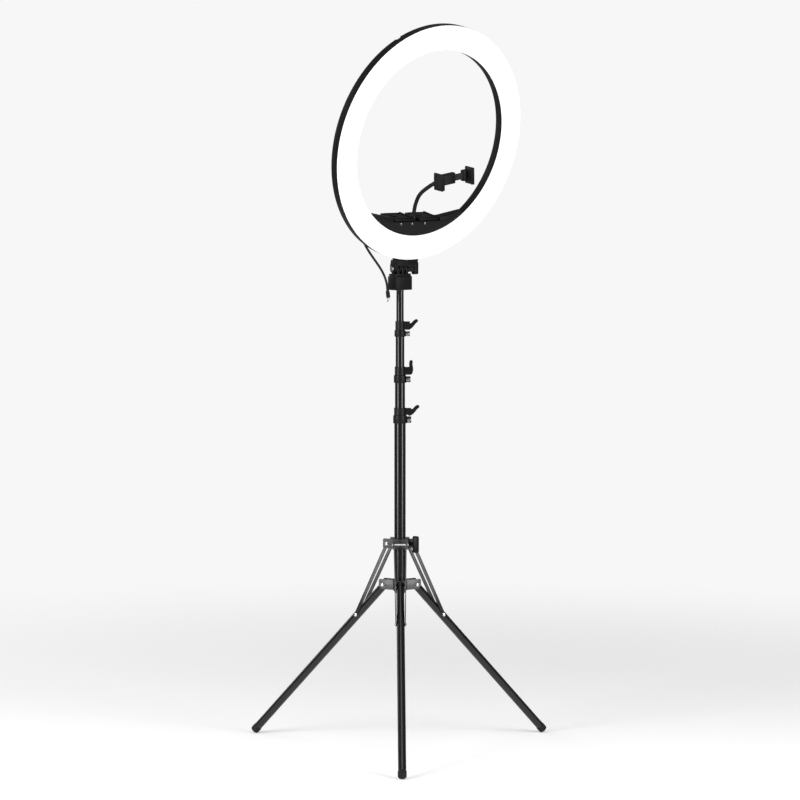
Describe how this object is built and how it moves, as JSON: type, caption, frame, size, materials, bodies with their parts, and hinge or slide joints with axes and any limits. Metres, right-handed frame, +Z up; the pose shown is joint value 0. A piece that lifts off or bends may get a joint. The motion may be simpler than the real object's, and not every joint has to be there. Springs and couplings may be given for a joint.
{
  "type": "ring light",
  "caption": "Ring light on a telescopic tripod stand: white annular lamp with a tilt head, rear controls, and a sprung phone clamp on a gooseneck, its legs folding up beside the mast.",
  "frame": {"origin": "middle of the object's box without the cord, at floor level; the mast's axis stands at x -0.0515, y -0.0316", "axes": "+Z up along the mast; -Y the way the ring faces; +X to the right seen from the front"},
  "size_m": [0.563, 0.5798, 1.4028],
  "materials": {
    "tube_black": "gloss",
    "bracket_black": "satin",
    "gunmetal": "satin metallic",
    "chrome": "bright polished",
    "rubber_black": "matte",
    "plastic_black": "fine moulded grain",
    "shell_black": "satin",
    "diffuser_white": "translucent white, lit",
    "board_white": "solder-masked board",
    "cord_black": "satin sleeve"
  },
  "bodies": {
    "stand": {"base_tube": "tube_black", "leg_hub": "gunmetal", "hub_rivet_front": "chrome", "hub_rivet_right": "chrome", "hub_rivet_left": "chrome", "clamp_lower": "plastic_black", "clamp_screw_lower": "chrome"},
    "collar": {"collar": "gunmetal", "collar_pin_front": "chrome", "collar_pin_right": "chrome", "collar_pin_left": "chrome"},
    "collar_knob": {"collar_knob": "plastic_black"},
    "leg_front": {"leg_tube_front": "tube_black", "leg_plug_front": "plastic_black", "foot_front": "rubber_black"},
    "brace_front": {"brace_front": "gunmetal", "brace_rivet_front": "chrome"},
    "leg_right": {"leg_tube_right": "tube_black", "leg_plug_right": "plastic_black", "foot_right": "rubber_black"},
    "brace_right": {"brace_right": "gunmetal", "brace_rivet_right": "chrome"},
    "leg_left": {"leg_tube_left": "tube_black", "leg_plug_left": "plastic_black", "foot_left": "rubber_black"},
    "brace_left": {"brace_left": "gunmetal", "brace_rivet_left": "chrome"},
    "section_2": {"mast_section_2": "tube_black", "clamp_middle": "plastic_black", "clamp_screw_middle": "chrome"},
    "section_3": {"mast_section_3": "tube_black", "clamp_upper": "plastic_black", "clamp_screw_upper": "chrome"},
    "section_4": {"mast_section_4": "tube_black"},
    "lever_lower": {"clamp_lever_lower": "plastic_black"},
    "lever_middle": {"clamp_lever_middle": "plastic_black"},
    "lever_upper": {"clamp_lever_upper": "plastic_black"},
    "head": {"socket_block": "plastic_black", "tilt_bolt": "chrome"},
    "socket_knob": {"socket_knob": "plastic_black"},
    "tilt_lever": {"tilt_lever": "plastic_black"},
    "ring": {"ring_bracket": "bracket_black", "ring_shell": "shell_black", "diffuser": "diffuser_white", "led_board": "board_white", "control_housing": "plastic_black", "control_cover": "plastic_black", "battery_plate_left": "plastic_black", "battery_plate_right": "plastic_black", "strain_relief": "rubber_black", "power_cord": "cord_black", "dc_plug": "plastic_black"},
    "brightness_knob": {"brightness_knob": "plastic_black"},
    "colour_knob": {"colour_knob": "plastic_black"},
    "battery_latch_left": {"battery_latch_left": "plastic_black"},
    "battery_latch_right": {"battery_latch_right": "plastic_black"},
    "gooseneck": {"gooseneck": "bracket_black"},
    "phone_clamp": {"phone_clamp_body": "plastic_black"},
    "phone_jaw": {"phone_clamp_jaw": "plastic_black"}
  },
  "joints": [
    {"name": "leg_front_fold", "type": "hinge", "parent": "stand", "child": "leg_front", "pos_m": [-0.07384, -0.05717, 0.3185], "axis": [-0.7536, 0.6574, 0], "range_deg": [0, 132.4]},
    {"name": "leg_right_fold", "type": "hinge", "parent": "stand", "child": "leg_right", "pos_m": [-0.01812, -0.0381, 0.3185], "axis": [-0.1925, -0.9813, 0], "range_deg": [0, 132.4]},
    {"name": "leg_left_fold", "type": "hinge", "parent": "stand", "child": "leg_left", "pos_m": [-0.0625, 0.00061, 0.3185], "axis": [0.9461, 0.3239, 0], "range_deg": [0, 132.4]},
    {"name": "brace_front_fold", "type": "hinge", "parent": "leg_front", "child": "brace_front", "pos_m": [-0.11328, -0.10239, 0.2555], "axis": [-0.7536, 0.6574, 0], "range_deg": [-152.41, 0.01]},
    {"name": "brace_right_fold", "type": "hinge", "parent": "leg_right", "child": "brace_right", "pos_m": [0.04075, -0.04965, 0.2555], "axis": [-0.1925, -0.9813, 0], "range_deg": [-152.41, 0.01]},
    {"name": "brace_left_fold", "type": "hinge", "parent": "leg_left", "child": "brace_left", "pos_m": [-0.08193, 0.05738, 0.2555], "axis": [0.9461, 0.3239, 0], "range_deg": [-152.41, 0.01]},
    {"name": "collar_slide", "type": "slide", "parent": "stand", "child": "collar", "axis": [0, 0, 1], "range_m": [0, 0.16577]},
    {"name": "collar_knob_turn", "type": "hinge", "parent": "collar", "child": "collar_knob", "pos_m": [-0.05149, -0.03155, 0.40051], "axis": [0.3239, -0.9461, 0], "range_deg": [-180, 180]},
    {"name": "section_2_slide", "type": "slide", "parent": "stand", "child": "section_2", "axis": [0, 0, 1], "range_m": [-0.032, 0.19]},
    {"name": "section_3_slide", "type": "slide", "parent": "section_2", "child": "section_3", "axis": [0, 0, 1], "range_m": [-0.042, 0.19]},
    {"name": "section_4_slide", "type": "slide", "parent": "section_3", "child": "section_4", "axis": [0, 0, 1], "range_m": [-0.045, 0.19]},
    {"name": "lever_lower_flip", "type": "hinge", "parent": "stand", "child": "lever_lower", "pos_m": [-0.03747, -0.04378, 0.6577], "axis": [0.6574, 0.7536, 0], "range_deg": [-46, 4]},
    {"name": "lever_middle_flip", "type": "hinge", "parent": "section_2", "child": "lever_middle", "pos_m": [-0.03845, -0.04293, 0.73635], "axis": [0.6574, 0.7536, 0], "range_deg": [0, 50]},
    {"name": "lever_upper_flip", "type": "hinge", "parent": "section_3", "child": "lever_upper", "pos_m": [-0.03943, -0.04207, 0.82405], "axis": [0.6574, 0.7536, 0], "range_deg": [-46, 4]},
    {"name": "head_pan", "type": "hinge", "parent": "section_4", "child": "head", "pos_m": [-0.05149, -0.03155, 0.9345], "axis": [0, 0, 1], "continuous": true},
    {"name": "socket_knob_turn", "type": "hinge", "parent": "head", "child": "socket_knob", "pos_m": [-0.05149, -0.03155, 0.9055], "axis": [0, 1, 0], "range_deg": [-180, 180]},
    {"name": "ring_tilt", "type": "hinge", "parent": "head", "child": "ring", "pos_m": [-0.05149, -0.03155, 0.9345], "axis": [1, 0, 0], "range_deg": [-74, 56]},
    {"name": "tilt_lever_turn", "type": "hinge", "parent": "head", "child": "tilt_lever", "pos_m": [-0.05149, -0.03155, 0.9345], "axis": [1, 0, 0], "range_deg": [-60, 60]},
    {"name": "brightness_knob_turn", "type": "hinge", "parent": "ring", "child": "brightness_knob", "pos_m": [-0.08449, -0.0785, 1.01117], "axis": [0, 0.9703, 0.2419], "range_deg": [-135, 135]},
    {"name": "colour_knob_turn", "type": "hinge", "parent": "ring", "child": "colour_knob", "pos_m": [-0.01849, -0.0785, 1.01117], "axis": [0, 0.9703, 0.2419], "range_deg": [-135, 135]},
    {"name": "battery_latch_left_press", "type": "slide", "parent": "ring", "child": "battery_latch_left", "axis": [0, 0.2419, -0.9703], "range_m": [0, 0.0012], "stiffness_N_per_m": 600, "springref_m": -0.0008},
    {"name": "battery_latch_right_press", "type": "slide", "parent": "ring", "child": "battery_latch_right", "axis": [0, 0.2419, -0.9703], "range_m": [0, 0.0012], "stiffness_N_per_m": 600, "springref_m": -0.0008},
    {"name": "gooseneck_swivel", "type": "hinge", "parent": "ring", "child": "gooseneck", "pos_m": [-0.05149, -0.06848, 1.02887], "axis": [0, -0.2419, 0.9703], "range_deg": [-45, 45]},
    {"name": "phone_clamp_tilt", "type": "hinge", "parent": "gooseneck", "child": "phone_clamp", "pos_m": [-0.05149, -0.1707, 1.11242], "axis": [0.9877, -0.0378, 0.1518], "range_deg": [-20, 20]},
    {"name": "phone_jaw_slide", "type": "slide", "parent": "phone_clamp", "child": "phone_jaw", "axis": [0.9877, -0.0378, 0.1518], "range_m": [-0.012, 0.014]}
  ],
  "couplings": [
    {"joint": "leg_right_fold", "follows": "leg_front_fold", "ratio": 1},
    {"joint": "leg_left_fold", "follows": "leg_front_fold", "ratio": 1},
    {"joint": "brace_front_fold", "follows": "leg_front_fold", "ratio": -1.151},
    {"joint": "brace_right_fold", "follows": "leg_front_fold", "ratio": -1.151},
    {"joint": "brace_left_fold", "follows": "leg_front_fold", "ratio": -1.151},
    {"joint": "collar_slide", "follows": "leg_front_fold", "m_per_rad": 0.071693}
  ]
}
